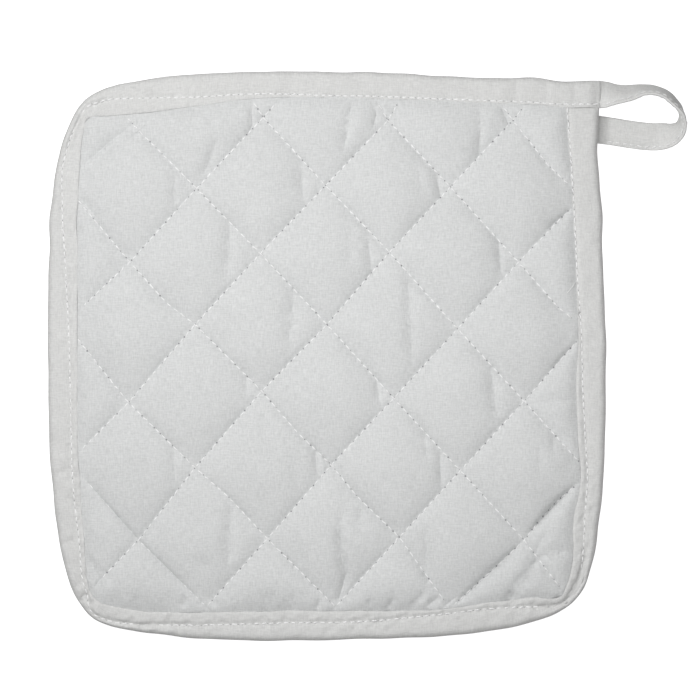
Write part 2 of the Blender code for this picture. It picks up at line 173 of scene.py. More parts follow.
# Creases of the face, each a soft trough (or a ridge where its depth is negative).
# Columns: depth, width on the left of its run, width on the right, then the points of its run.
FACE_CREASES = (
    (0.60, 1.2, 2.8, (8.5, 89.0), (7.5, 80.0), (5.5, 71.5)),
    (0.90, 0.5, 0.7, (8.8, 89.5), (7.6, 82.0), (6.8, 76.0)),
    (0.70, 1.6, 1.0, (16.0, 89.5), (17.5, 85.5), (16.0, 80.0)),
    (0.80, 0.6, 1.4, (-26.6, 90.0), (-26.2, 82.0), (-28.0, 78.5)),
    (1.30, 5.5, 3.2, (-38.4, 78.5), (-41.0, 70.0), (-44.5, 62.5)),
    (1.00, 1.6, 1.8, (54.3, 89.0), (54.0, 78.0), (53.2, 68.0)),
    (1.10, 1.0, 1.8, (61.5, 88.0), (63.0, 84.5), (65.0, 80.5)),
    (0.90, 1.8, 3.0, (7.2, -53.0), (5.0, -59.3), (4.6, -66.4), (5.9, -72.5), (6.4, -79.6), (3.9, -86.0)),
    (1.60, 0.7, 0.8, (5.4, -55.0), (4.6, -62.0), (5.0, -70.0), (6.6, -77.0), (4.4, -85.0)),
    (1.20, 0.7, 2.8, (74.6, -70.6), (73.0, -73.4), (70.9, -76.6), (68.2, -80.3), (64.2, -85.0)),
    (1.90, 0.6, 1.0, (74.6, -70.6), (73.0, -73.4), (70.9, -76.6), (68.2, -80.3), (64.2, -85.0),
     (61.8, -87.0)),
    (0.80, 1.0, 1.8, (77.8, -60.8), (75.8, -64.6), (74.0, -68.0), (73.0, -71.0)),
    (1.70, 1.7, 0.7, (75.0, -71.0), (77.0, -70.1), (79.0, -69.4), (81.5, -68.9), (84.4, -68.8)),
    (1.00, 1.8, 1.2, (82.0, -65.6), (87.0, -62.6)),
    (1.80, 1.0, 1.8, (71.8, -61.8), (75.4, -57.4), (78.5, -53.8), (82.0, -50.2), (87.2, -45.2)),
    (1.20, 1.6, 1.0, (46.0, -87.0), (52.0, -81.5), (60.0, -74.0), (68.0, -66.0)),
    (1.00, 0.7, 1.4, (35.5, -82.0), (33.5, -84.5), (28.8, -89.0)),
    (0.90, 0.7, 1.4, (40.0, -84.0), (34.5, -88.8)),
    (0.80, 0.8, 1.4, (45.5, -84.5), (40.5, -88.6)),
    (1.00, 0.7, 1.3, (-85.0, -70.5), (-82.6, -73.5), (-79.1, -77.9)),
    (0.40, 0.8, 1.5, (-85.0, -62.5), (-79.4, -68.0)),
    (-0.90, 3.0, 3.0, (-81.5, -80.0), (-84.5, -82.5)),
    (1.20, 1.0, 1.0, (-76.0, -88.0), (-74.0, -83.5)),
    (1.20, 1.0, 1.2, (-68.0, -88.5), (-66.5, -83.0)),
    (0.80, 1.0, 1.0, (-63.0, -88.5), (-62.0, -85.0)),
    (1.20, 1.0, 1.2, (-56.5, -89.0), (-54.0, -84.0)),
    (1.20, 1.0, 1.2, (-51.0, -89.0), (-49.5, -84.0)),
    (0.80, 0.9, 1.4, (-29.0, -89.0), (-27.0, -84.5)),
    (1.20, 0.9, 1.4, (-22.0, -89.0), (-19.5, -83.0)),
    (1.20, 0.9, 1.4, (-13.5, -89.0), (-11.5, -83.5)),
    (0.80, 0.8, 1.4, (-4.0, -89.0), (-2.0, -85.0)),
    (1.20, 0.9, 1.4, (14.0, -89.0), (15.5, -85.0)),
    (1.20, 0.9, 1.2, (21.5, -89.0), (23.5, -84.5)),
    (0.95, 3.4, 3.2, (-53.4, 65.0), (-53.7, 52.5)),
    (1.30, 3.2, 4.0, (-9.3, 69.5), (-8.2, 53.5)),
    (1.60, 4.4, 3.0, (-34.2, 49.0), (-35.0, 27.5)),
    (1.55, 4.2, 3.0, (-11.8, 23.0), (-13.4, 3.0)),
    (0.60, 3.0, 3.4, (32.4, 68.5), (33.2, 55.0)),
    (1.10, 2.6, 2.8, (38.4, 66.0), (40.2, 55.0)),
    (0.60, 2.0, 3.4, (9.2, 72.0), (9.9, 57.5)),
    (0.70, 2.6, 3.0, (8.8, 47.0), (7.6, 31.5)),
    (1.20, 2.8, 3.0, (14.2, 43.0), (16.4, 27.0)),
    (1.40, 3.0, 2.4, (60.2, 43.0), (61.5, 28.0)),
    (1.45, 4.4, 2.4, (28.3, 29.0), (30.2, -4.0)),
    (1.20, 1.6, 3.0, (17.2, -5.0), (18.7, -16.5)),
    (1.50, 3.8, 2.8, (57.6, -3.0), (59.8, -23.0)),
    (0.70, 2.6, 3.0, (34.5, -24.0), (35.2, -39.0)),
    (1.50, 2.4, 2.6, (39.8, -33.0), (40.3, -47.0)),
    (0.90, 1.8, 2.6, (-28.7, -3.0), (-28.2, -13.0)),
    (0.70, 2.6, 3.0, (-54.3, -31.0), (-53.2, -48.0)),
    (0.60, 2.6, 3.4, (-12.2, -31.0), (-10.0, -48.0)),
    (1.00, 1.6, 2.4, (-4.3, -32.0), (-3.0, -43.0)),
    (1.60, 3.8, 2.2, (-34.0, -52.0), (-35.0, -74.0)),
    (1.20, 1.0, 1.6, (-46.0, -71.5), (-43.0, -71.6), (-40.6, -76.5)),
    (0.70, 1.8, 2.0, (-10.0, -65.0), (-9.2, -74.0)),
    (0.90, 1.8, 2.4, (11.5, -52.5), (13.0, -63.0)),
    (1.50, 3.6, 2.4, (34.6, -58.0), (35.4, -79.0)),
    (0.50, 1.6, 2.0, (74.8, -30.0), (75.0, -42.0)),
    (0.50, 1.6, 2.0, (79.6, -27.5), (79.8, -36.0)),
    (0.90, 2.4, 1.4, (73.5, -16.0), (79.0, -15.8), (87.0, -15.0)),
    (0.80, 1.0, 1.3, (78.5, -5.0), (84.0, 1.0), (88.0, 5.0)),
    (0.80, 1.2, 1.4, (77.5, 45.0), (87.0, 53.0)),
    (0.28, 0.7, 0.7, (-83.0, -46.0), (-66.5, -64.5), (-43.5, -87.0)),
    (-0.80, 0.7, 0.9, (-86.0, 64.5), (-76.0, 73.5), (-66.5, 80.0), (-60.0, 86.0)),
    (1.10, 3.5, 0.9, (-86.5, 67.0), (-77.5, 75.0), (-68.5, 82.0)),
    (1.00, 3.0, 1.5, (-87.5, 56.5), (-81.5, 49.5)),
)

# Tucks, ripples and the deeper parts of the stitched groove on the bound edge, with the same columns.
EDGE_CREASES = (
    (0.45, 1.0, 2.4, (54.0, 98.0), (54.0, 89.5)),
    (0.55, 1.0, 2.4, (67.0, 98.0), (67.0, 89.0)),
    (0.45, 1.0, 2.4, (77.5, 98.0), (77.5, 89.0)),
    (0.40, 1.0, 2.4, (87.5, 98.0), (87.5, 88.0)),
    (0.50, 0.7, 1.8, (-93.2, -66.0), (-87.6, -64.0)),
    (0.40, 0.7, 1.8, (-92.0, -73.0), (-86.5, -71.5)),
    (0.30, 0.8, 1.8, (-96.5, -41.0), (-89.5, -40.0)),
    (0.30, 0.8, 1.8, (-97.0, -18.0), (-90.0, -18.5)),
    (0.50, 0.5, 1.0, (-87.4, -81.2), (-85.4, -77.9), (-84.8, -76.0)),
    (0.35, 0.8, 1.6, (-23.0, -89.0), (-21.0, -96.5)),
    (0.35, 0.8, 1.6, (-15.0, -89.0), (-13.0, -96.5)),
    (1.30, 0.5, 1.6, (-92.0, 70.5), (-91.5, 73.0), (-90.5, 75.5), (-89.5, 79.0), (-88.5, 82.0),
     (-86.5, 86.0)),
    (1.10, 0.5, 1.4, (-84.5, 87.0), (-82.0, 88.5), (-80.0, 89.5), (-76.0, 90.0)),
    (0.70, 0.7, 1.6, (-75.0, 96.5), (-70.0, 95.0), (-63.6, 91.9)),
    (0.50, 0.6, 1.4, (-90.5, 66.0), (-87.5, 64.5)),
    (1.60, 0.6, 1.0, (-88.5, -87.5), (-84.0, -83.0)),
    (0.80, 0.6, 0.8, (-84.5, -89.3), (-80.0, -91.7), (-75.0, -93.3), (-66.0, -94.4), (-56.0, -94.4),
     (-48.0, -93.6)),
    (0.45, 0.5, 1.0, (-56.5, -94.2), (-54.5, -90.2)),
    (2.40, 1.2, 1.1, (90.3, -73.0), (89.2, -78.5), (86.9, -82.9), (83.8, -86.7)),
    (2.00, 0.8, 1.4, (83.7, -86.7), (78.7, -88.4), (72.0, -89.2)),
    (0.70, 0.6, 1.2, (75.0, -90.3), (79.5, -91.5), (84.0, -90.5)),
    (1.00, 0.6, 1.0, (83.0, -85.0), (87.5, -90.5)),
    (0.60, 0.6, 0.8, (92.5, -64.0), (91.5, -70.0), (90.3, -75.0)),
)

# Loop of folded strip. Columns: x, y, z of the middle, roll in degrees, thickness.
LOOP = (
    (95.6, 92.7, 4.7, 3.0, 2.4),
    (97.4, 92.6, 4.7, 11.0, 2.2),
    (99.2, 92.7, 4.8, 24.0, 2.0),
    (101.5, 92.7, 4.8, 39.0, 1.8),
    (107.0, 93.2, 4.9, 55.0, 1.7),
    (111.5, 94.2, 5.0, 66.0, 1.8),
    (115.0, 94.1, 5.0, 70.0, 1.9),
    (119.0, 92.8, 5.0, 71.0, 1.9),
    (122.3, 90.0, 5.0, 73.0, 1.9),
    (124.3, 87.5, 5.0, 79.0, 1.9),
    (125.2, 85.0, 5.0, 90.0, 1.9),
    (125.0, 82.3, 4.8, 106.0, 1.8),
    (123.3, 80.0, 4.0, 132.0, 1.7),
    (120.8, 78.6, 2.5, 155.0, 1.5),
    (117.5, 78.0, 1.2, 172.0, 1.5),
    (114.0, 78.0, 0.85, 180.0, 1.5),
    (108.5, 78.6, 0.8, 180.0, 1.5),
    (101.5, 79.7, 0.8, 180.0, 1.5),
    (96.5, 80.4, 0.8, 180.0, 1.5),
    (84.8, 81.2, 0.8, 180.0, 1.5),
)
LOOP_WIDTH = 9.8


def smooth(t):
    t = np.clip(t, 0.0, 1.0)
    return t * t * (3.0 - 2.0 * t)


def spline(rows, spacing):
    """Smooth curve through the rows of a table, with points about the given distance apart."""
    rows = np.array(rows, dtype=float)
    along = np.concatenate([[0.0], np.cumsum(np.linalg.norm(np.diff(rows[:, :2], axis=0), axis=1))])
    slopes = np.gradient(rows, along, axis=0)
    out = []
    for k in range(len(rows) - 1):
        span = along[k + 1] - along[k]
        count = max(1, round(span / spacing))
        t = (np.arange(count) / count)[:, None]
        out.append((2 * t**3 - 3 * t**2 + 1) * rows[k] + (t**3 - 2 * t**2 + t) * span * slopes[k]
                   + (3 * t**2 - 2 * t**3) * rows[k + 1] + (t**3 - t**2) * span * slopes[k + 1])
    out.append(rows[-1:])
    return np.concatenate(out)


def run_length(points):
    return np.concatenate([[0.0], np.cumsum(np.linalg.norm(np.diff(points, axis=0), axis=1))])


WAVES = 7


def waviness(points, wavelength, seed):
    """Gentle unevenness between about -1 and 1, the same on every run."""
    rng = np.random.default_rng(seed)
    total = np.zeros(len(points))
    for _ in range(WAVES):
        angle = rng.uniform(0.0, 2.0 * math.pi)
        length = wavelength * rng.uniform(0.7, 1.5)
        wave = np.array((math.cos(angle), math.sin(angle))) * 2.0 * math.pi / length
        total += np.sin(points[:, :2] @ wave + rng.uniform(0.0, 2.0 * math.pi))
    return total / math.sqrt(WAVES)


def from_segment(points, start, end):
    """Share of the way along a segment of the place nearest to each point, and the distance from it."""
    step = end - start
    offset = points[:, :2] - start
    t = np.clip(offset @ step / (step @ step), 0.0, 1.0)
    gap = offset - t[:, None] * step
    return t, np.hypot(gap[:, 0], gap[:, 1])


def crease_depth(points, creases):
    """Depth of the troughs at each point. Each is soft with a crisp middle, and shallower at its ends."""
    total = np.zeros(len(points))
    for depth, left, right, *run in creases:
        run = np.array(run)
        lengths = run_length(run)
        best = np.full(len(points), 1e9)
        side = np.zeros(len(points))
        share = np.zeros(len(points))
        for k, (start, end) in enumerate(zip(run, run[1:])):
            t, away = from_segment(points, start, end)
            step, offset = end - start, points[:, :2] - start
            nearer = away < best
            best = np.where(nearer, away, best)
            side = np.where(nearer, step[0] * offset[:, 1] - step[1] * offset[:, 0], side)
            share = np.where(nearer, (lengths[k] + t * (lengths[k + 1] - lengths[k])) / lengths[-1], share)
        width = np.where(side > 0.0, left, right)
        fade = 0.25 + 0.75 * smooth(4.0 * share * (1.0 - share))
        core = np.maximum(0.38 * width, 0.7)
        soft = 0.58 * np.exp(-((best / width) ** 1.6))
        crisp = 0.52 * np.exp(-((best / core) ** 1.2))
        total += depth * fade * (soft + crisp)
    return total


def corner_lift(points):
    """How far the upper right corner is raised by the loop's end lying under it."""
    x_low, y_low, x_high, y_high = CORNER_BOX
    away_x = np.maximum(np.maximum(x_low - points[:, 0], points[:, 0] - x_high), 0.0)
    away_y = np.maximum(np.maximum(y_low - points[:, 1], points[:, 1] - y_high), 0.0)
    away = np.maximum(np.hypot(away_x, away_y) - CORNER_MARGIN, 0.0)
    return CORNER_LIFT * (1.0 - smooth(away / LIFT_REACH))


def line_points(line):
    return np.array([CROSSING[place] if isinstance(place, str) else place for place in line], dtype=float)


def gap_and_run(points, line):
    """Signed distance from a quilting line, and how far along it each point is."""
    places = line_points(line)
    chord = places[-1] - places[0]
    chord /= np.linalg.norm(chord)
    side = np.array([chord[1], -chord[0]])
    knots = places - places[0]
    offsets = points[:, :2] - places[0]
    run = offsets @ chord
    return offsets @ side - np.interp(run, knots @ chord, knots @ side), run


def across_family(points, lines, sign):
    """Each point's place across a family of lines, 0 on the first and 1 on the second,
    its distance from the nearest line, and how far along that line it is.
    """
    pairs = [gap_and_run(points, line) for line in lines]
    gaps = np.array([sign * pair[0] for pair in pairs])
    runs = np.array([pair[1] for pair in pairs])
    last = len(lines) - 1
    below = (gaps > 0.0).sum(axis=0) - 1
    picked = np.clip(below, 0, last - 1)
    column = np.arange(len(points))
    low, high = gaps[picked, column], gaps[picked + 1, column]
    inside = picked + low / np.maximum(low - high, 1e-6)
    outside = np.where(below < 0, gaps[0] / QUILT_PITCH, last + gaps[last] / QUILT_PITCH)
    nearest = np.abs(gaps).argmin(axis=0)
    place = np.where((below < 0) | (below >= last), outside, inside)
    return place, gaps[nearest, column], runs[nearest, column]


def cell_place(points):
    return np.column_stack([across_family(points, FALLING, -1.0)[0], across_family(points, RISING, 1.0)[0]])


SOLVE_ROUNDS = 25


def place_cells(targets):
    """Points of the face whose places across the two families are the given ones."""
    known = np.array(list(CROSSING.values()))
    cells = cell_place(known)
    fit = np.linalg.lstsq(np.column_stack([cells, np.ones(len(known))]), known, rcond=None)[0]
    points = np.column_stack([targets, np.ones(len(targets))]) @ fit
    for _ in range(SOLVE_ROUNDS):
        points = points + 0.9 * (targets - cell_place(points)) @ fit[:2]
    return points


POINTS_AT_ONCE = 4000


def distance_inside(points, ring):
    """Distance in from a closed ring, negative outside it."""
    start, end = ring, np.roll(ring, -1, axis=0)
    out = []
    for part in np.array_split(points[:, :2], max(1, len(points) // POINTS_AT_ONCE)):
        run = end - start
        offset = part[:, None, :] - start[None]
        share = np.clip((offset * run).sum(axis=2) / np.maximum((run * run).sum(axis=1), 1e-12), 0.0, 1.0)
        nearest = np.linalg.norm(offset - share[..., None] * run, axis=2).min(axis=1)
        above = (start[:, 1] > part[:, 1, None]) != (end[:, 1] > part[:, 1, None])
        rise = np.where(np.abs(run[:, 1]) < 1e-9, 1e-9, run[:, 1])
        hit_x = start[:, 0] + (part[:, 1, None] - start[:, 1]) / rise * run[:, 0]
        inside = (above & (part[:, 0, None] < hit_x)).sum(axis=1) % 2 == 1
        out.append(np.where(inside, nearest, -nearest))
    return np.concatenate(out)


def face_ring(inner, inward, gap):
    """Closed ring a given gap in from the legs' free edges, with a square upper right corner."""
    ring = inner + gap * inward
    corner = np.array(FACE_CORNER) - gap
    first_half = np.arange(len(ring)) < len(ring) // 2
    kept = np.where(first_half, ring[:, 1] < corner[1] - CORNER_CUT, ring[:, 0] < corner[0] - CORNER_CUT)
    return np.concatenate([ring[kept], [corner]])


END_FACE_CORNERS = 12


def make_piece(name, points, faces, replaced=None, slot="quilted_pad", attributes=()):
    """Mesh from points in millimetres, riding on the body and shaded smooth but for the ends of strips."""
    mesh = bpy.data.meshes.new(name)
    world = (np.asarray(points, dtype=float) - REST_POINT) * MM
    mesh.from_pydata(world.tolist(), [], [list(map(int, face)) for face in faces])
    mesh.update()
    for face in mesh.polygons:
        face.use_smooth = face.loop_total < END_FACE_CORNERS
    for label, values in attributes:
        layer = mesh.attributes.new(label, "FLOAT_VECTOR", "POINT")
        layer.data.foreach_set("vector", np.asarray(values, dtype=np.float32).ravel())
    thing = bpy.data.objects.new(name, mesh)
    bpy.context.scene.collection.objects.link(thing)
    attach(thing, BODY)
    if replaced:
        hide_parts(replaced)
    return thing


def make_strip(name, node, points, cloth, stitches, turn):
    """Piece from rows of section points, with its ends shut. The turn, 1 or -1, is the faces' direction."""
    count, across = points.shape[:2]
    index = np.arange(count * across).reshape(count, across)
    ahead = np.roll(index, -1, axis=1)
    corners = [index[:-1], ahead[:-1], ahead[1:], index[1:]]
    if turn < 0:
        corners[1], corners[3] = corners[3], corners[1]
    faces = np.column_stack([corner.ravel() for corner in corners]).tolist()
    faces.append(index[0][::-turn].tolist())
    faces.append(index[-1][::turn].tolist())
    far = np.full((count * across, 3), 99.0)
    attributes = [("cloth", cloth.reshape(-1, 3)), ("seam_a", stitches.reshape(-1, 3)), ("seam_b", far)]
    return make_piece(name, points.reshape(-1, 3), faces, node, node, attributes)


# The strip's stations, and the rings that the pad's face is measured from

STATION_SPACING = 0.8
TOP_RUN_Y = 88.0
stations = spline(STRIP, STATION_SPACING)
outer, inner, seam = stations[:, 0:2], stations[:, 2:4], stations[:, 4]
strip_width = np.linalg.norm(inner - outer, axis=1)
inward = (inner - outer) / strip_width[:, None]
seam_at = np.clip(seam, 0.22, 0.95) * strip_width
strip_lift = corner_lift((outer + inner) / 2.0)
coarse = slice(None, None, 5)
leg_ring = face_ring(inner[coarse], inward[coarse], LEG_CLEARANCE)
pad_edge = (outer + PAD_EDGE_INSET * inward)[coarse]
pad_edge[:, 0] = np.minimum(pad_edge[:, 0], np.where(pad_edge[:, 1] > TOP_RUN_Y, PAD_CORNER_X, 1e3))


# The quilted pad

RIM_RISE = 1.45
CROSSING_DIP = 0.45
SWELL_REACH = 15.0
UNDER_GROOVE = 1.5


def puff_shape(cells, power):
    """0 on the quilting lines to 1 in the middle of a diamond, with a narrow soft valley at each line."""
    share = cells - np.floor(cells)
    near = np.minimum(share, 1.0 - share)
    near = (np.sqrt(near**2 + 0.010**2) - 0.010) / 0.98
    return np.clip(16.0 * near[:, 0] * (1 - near[:, 0]) * near[:, 1] * (1 - near[:, 1]), 0.0, 1.0) ** power


def crossing_pull(cells):
    near = np.abs(cells - np.round(cells)) * QUILT_PITCH
    return np.exp(-(near**2).sum(axis=1) / 16.0)


def seam_puckers(points):
    """Short wrinkles that run out from the quilting lines."""
    total = np.zeros(len(points))
    for lines, seed in ((FALLING, 3), (RISING, 5)):
        _, gap, run = across_family(points, lines, 1.0)
        away = np.abs(gap)
        rng = np.random.default_rng(seed)
        wave = np.zeros(len(points))
        for length in (4.1, 5.3, 7.2, 9.7):
            drift = rng.uniform(-0.25, 0.25)
            wave += np.sin(2.0 * math.pi * (run + drift * away) / length + rng.uniform(0.0, 6.3))
        reach = np.exp(-away / 4.5) * (1.0 - np.exp(-away / 0.8)) * smooth(2.0 - away / 7.0)
        total += wave / 2.0 * reach
    return total


def top_height(points, inside=None):
    """Height of the pad's face, creases and all."""
    cells = cell_place(points)
    if inside is None:
        inside = distance_inside(points, leg_ring)
    depth = np.maximum(inside, 0.0)
    lit_side = smooth(0.5 + (points[:, 1] - points[:, 0]) / 60.0)
    rim = RIM_MID_Z + RIM_RISE + (0.87 + 0.18 * lit_side) * smooth((inside + 1.6) / 1.6)
    base = (QUILT_LINE_Z - rim) * (1.0 - np.exp(-depth / 0.9))
    base = base - CROSSING_DIP * crossing_pull(cells) * smooth(depth / 6.0)
    swell = (1.0 - (1.0 - np.clip(depth / SWELL_REACH, 0.0, 1.0)) ** 2) ** 0.75
    puff = puff_shape(cells, 0.62)
    detail = 0.16 * waviness(points, 17.0, 11) * puff + 0.17 * seam_puckers(points)
    detail -= crease_depth(points, FACE_CREASES)
    gathered = 0.10 + 0.22 * smooth((-60.0 - points[:, 1]) / 20.0)
    detail += gathered * waviness(points, 5.0, 12) * np.exp(-depth / 3.0)
    detail *= smooth((depth + 0.3) / 2.0)
    return rim + base + (CROWN_Z - QUILT_LINE_Z) * puff * swell + detail + corner_lift(points)


def under_height(points):
    """Height of the pad's underside: flat where it touches, with a groove along each quilting line."""
    depth = np.maximum(distance_inside(points, leg_ring), 0.0)
    groove = UNDER_GROOVE * (1.0 - np.minimum(1.0, 1.6 * puff_shape(cell_place(points), 0.6)))
    rim = (RIM_MID_Z - RIM_HALF) * (1.0 - smooth(depth / 5.0))
    puckers = 0.10 * np.abs(seam_puckers(points)) * smooth(groove / 0.6)
    relief = (groove + puckers) * (1.0 - rim / 2.2) * smooth((depth - 0.5) / 2.0)
    return rim + relief + corner_lift(points) + UNDER_CLEARANCE


HALF_CELL = (0.0, 0.010, 0.023, 0.041, 0.064, 0.094, 0.132, 0.178, 0.235, 0.30, 0.37, 0.435)
CELL_STEPS = HALF_CELL + (0.5,) + tuple(1.0 - step for step in reversed(HALF_CELL[1:]))


def away_from_creases(points):
    """Distance from the nearest crease of the face."""
    nearest = np.full(len(points), 1e9)
    for row in FACE_CREASES:
        run = np.array(row[3:])
        for start, end in zip(run, run[1:]):
            nearest = np.minimum(nearest, from_segment(points, start, end)[1])
    return nearest


REFINE_REACHES = (2.8, 1.4, 0.8)
REFINE_INSET = 4.0


def refine(points, quads):
    """The same faces, split finer near the creases. The first points stay the same."""
    body = bmesh.new()
    corners = [body.verts.new((x, y, 0.0)) for x, y in points]
    for quad in quads:
        body.faces.new([corners[k] for k in quad])
    for reach in REFINE_REACHES:
        body.verts.ensure_lookup_table()
        flat = np.array([vert.co[:2] for vert in body.verts])
        near = away_from_creases(flat) < reach
        near &= distance_inside(flat, pad_edge) > REFINE_INSET
        edges = [edge for edge in body.edges if near[edge.verts[0].index] and near[edge.verts[1].index]]
        bmesh.ops.subdivide_edges(body, edges=edges, cuts=1, use_grid_fill=True)
        body.verts.index_update()
    flat = np.array([vert.co[:2] for vert in body.verts])
    faces = [[vert.index for vert in face.verts] for face in body.faces]
    body.free()
    return flat, faces


def make_pad():
    steps = np.array([level + part for level in range(-1, 7) for part in CELL_STEPS[:-1]] + [7.0])
    side = len(steps)
    targets = np.array(np.meshgrid(steps, steps, indexing="ij")).reshape(2, -1).T
    points = place_cells(targets)
    inside_edge = distance_inside(points, pad_edge)
    index = np.arange(side * side).reshape(side, side)
    quads = np.column_stack([index[:-1, :-1].ravel(), index[1:, :-1].ravel(),
                             index[1:, 1:].ravel(), index[:-1, 1:].ravel()])
    quads = quads[(inside_edge[quads] > 0.0).all(axis=1)]
    used = np.unique(quads)
    renumber = np.full(side * side, -1)
    renumber[used] = np.arange(len(used))
    quads = renumber[quads]
    points = points[used]
    first, second, _, fourth = points[quads[0]]
    if np.cross(second - first, fourth - first) < 0:
        quads = quads[:, ::-1]
    top_points, top_faces = refine(points, quads)
    count = len(top_points)
    inside = distance_inside(top_points, leg_ring)
    top = np.column_stack([top_points, top_height(top_points, inside)])
    under = np.column_stack([points, under_height(points)])
    edges = np.concatenate([quads[:, [k, (k + 1) % 4]] for k in range(4)])
    _, found, uses = np.unique(np.sort(edges, axis=1), axis=0, return_index=True, return_counts=True)
    start, end = edges[found[uses == 1]].T
    walls = np.column_stack([end, start, start + count, end + count])
    faces = top_faces + (quads[:, ::-1] + count).tolist() + walls.tolist()
    both = np.concatenate([top_points, points])
    zeros = np.zeros(len(both))
    seams = []
    for label, lines in (("seam_a", FALLING), ("seam_b", RISING)):
        _, gap, run = across_family(both, lines, 1.0)
        seams.append((label, np.column_stack([np.abs(gap), run, zeros])))
    cloth = np.column_stack([both, zeros])
    return make_piece("pad_cover", np.concatenate([top, under]), faces, "quilted_pad", "quilted_pad",
                      [("cloth", cloth), *seams])


# The bound edge

LEG_STEPS = np.array((
    0.0, 0.012, 0.035, 0.07, 0.11, 0.16, 0.21, 0.27, 0.33, 0.39, 0.45, 0.51,
    0.57, 0.63, 0.69, 0.75, 0.80, 0.85, 0.89, 0.93, 0.96, 0.985, 1.0,
))
INSIDE_STEPS = np.array((0.0, 0.06, 0.2, 0.4, 0.6, 0.8, 1.0))
FOLD_INSIDE_AT = 1.3
FOLD_INSIDE_HALF = 1.42
LEG_HALF = 2.7
BEND_REACH = 2.3
SEAM_DIP = 0.42
LIP_RISE = 0.3
END_SQUEEZE = 0.53
TUCK_DEPTH = 0.9


def leg_height(a, width, seam_at):
    """Half thickness of the folded strip at a distance a in from its folded edge."""
    bend = np.sqrt(np.clip(1.0 - (1.0 - np.clip(a / BEND_REACH, 0.0, 1.0)) ** 2, 0.0, 1.0))
    crown = LEG_HALF * bend + 0.22 * np.sin(math.pi * np.clip(a / np.maximum(seam_at, 0.1), 0.0, 1.0))
    dip = SEAM_DIP * np.exp(-(((a - seam_at) / 0.8) ** 2)) * np.clip(a / 2.0, 0.0, 1.0)
    spare = np.maximum(width - seam_at, 0.3)
    beyond = np.clip((a - seam_at) / spare, 0.0, 1.0)
    lip = LIP_RISE * np.minimum(1.0, spare / 3.0) * np.sin(math.pi * beyond * 0.8)
    turned = 0.14 * smooth((a - width + 0.6) / 0.6) * np.minimum(1.0, spare / 2.0)
    return crown - dip + lip * (a > seam_at) - turned


def make_binding():
    width = strip_width
    end_x = smooth((outer[:, 0] - 92.0) / 4.5)
    closing = np.where(outer[:, 1] > 90.0, 1.0 - END_SQUEEZE * end_x, 1.0)
    right_run = (outer[:, 0] > 90.0) & (outer[:, 1] < 90.0)
    tucked = np.where(right_run, TUCK_DEPTH * smooth((outer[:, 1] - 85.5) / 2.8), 0.0)
    run = run_length(outer)
    seam_run = run_length(outer + inward * seam_at[:, None])
    columns = []
    for sign, steps in ((1.0, LEG_STEPS[::-1]), (-1.0, LEG_STEPS[1:])):
        for share in steps:
            a = share * width
            place = outer + inward * a[:, None]
            height = leg_height(a, width, seam_at)
            if sign > 0:
                flat = smooth(a / 1.5)
                beside = (a - seam_at) ** 2
                near_seam = np.exp(-beside / 5.0) - np.exp(-beside / 0.6)
                pulled = 0.26 * smooth((-10.0 - place[:, 1]) / 40.0) * near_seam
                ripples = 0.12 * waviness(place, 9.0, 21) + (0.05 + pulled) * waviness(place, 3.2, 22)
                height = height - crease_depth(place, EDGE_CREASES) * flat
                height = height + ripples * flat - tucked * flat
            columns.append((place, sign * height, a * sign, a - seam_at))
    for sign, steps in ((-1.0, INSIDE_STEPS[::-1]), (1.0, INSIDE_STEPS[1:])):
        for share in steps:
            a = np.minimum(FOLD_INSIDE_AT + share * (width - FOLD_INSIDE_AT), width)
            wall = STRIP_WALL * (1.0 - 0.78 * smooth((share - 0.55) / 0.45))
            height = np.maximum(leg_height(a, width, seam_at) - wall, 0.0)
            least = FOLD_INSIDE_HALF * smooth(share / 0.06)
            height = np.where(share == 0.0, 0.0, np.maximum(height, least))
            columns.append((outer + inward * a[:, None], sign * height, a * sign, a - seam_at))
    count, across = len(stations), len(columns)
    points, cloth, stitches = (np.zeros((count, across, 3)) for _ in range(3))
    for k, (place, height, distance, gap) in enumerate(columns):
        points[:, k, :2] = place
        points[:, k, 2] = RIM_MID_Z + strip_lift + height * closing
        cloth[:, k, 0] = run
        cloth[:, k, 1] = distance
        stitches[:, k, 0] = gap
        stitches[:, k, 1] = seam_run
    ripple = 0.14 * waviness(np.column_stack([run, np.zeros(count)]), 14.0, 23)
    points[:, :, :2] += (ripple[:, None] * inward)[:, None, :]
    return make_strip("bound_edge", "binding", points, cloth, stitches, 1)


# The loop

# Columns: place across the strip and half thickness, both as shares.
LOOP_SIDE = (
    (-1.0, 0.0), (-0.99, 0.32), (-0.96, 0.5), (-0.86, 0.66), (-0.75, 0.60), (-0.68, 0.70),
    (-0.56, 0.88), (-0.40, 0.97), (-0.2, 1.0), (0.1, 1.0), (0.4, 1.0), (0.65, 0.98),
    (0.83, 0.92), (0.93, 0.72), (0.98, 0.42), (1.0, 0.0),
)
LOOP_SEAM_AT = -0.75
LOOP_LEAST_Z = 0.02
LOOP_BACK_SHIFT = 40.0


def loop_frames():
    path = spline(LOOP, 0.45)
    ahead = np.gradient(path[:, :2], axis=0)
    ahead /= np.linalg.norm(ahead, axis=1)[:, None]
    level = np.column_stack([-ahead[:, 1], ahead[:, 0], np.zeros(len(path))])
    roll = np.radians(np.clip(path[:, 3], 0.0, 180.0))[:, None]
    up = np.array([[0.0, 0.0, 1.0]])
    across = np.cos(roll) * level - np.sin(roll) * up
    facing = np.cos(roll) * up + np.sin(roll) * level
    return path, across, facing


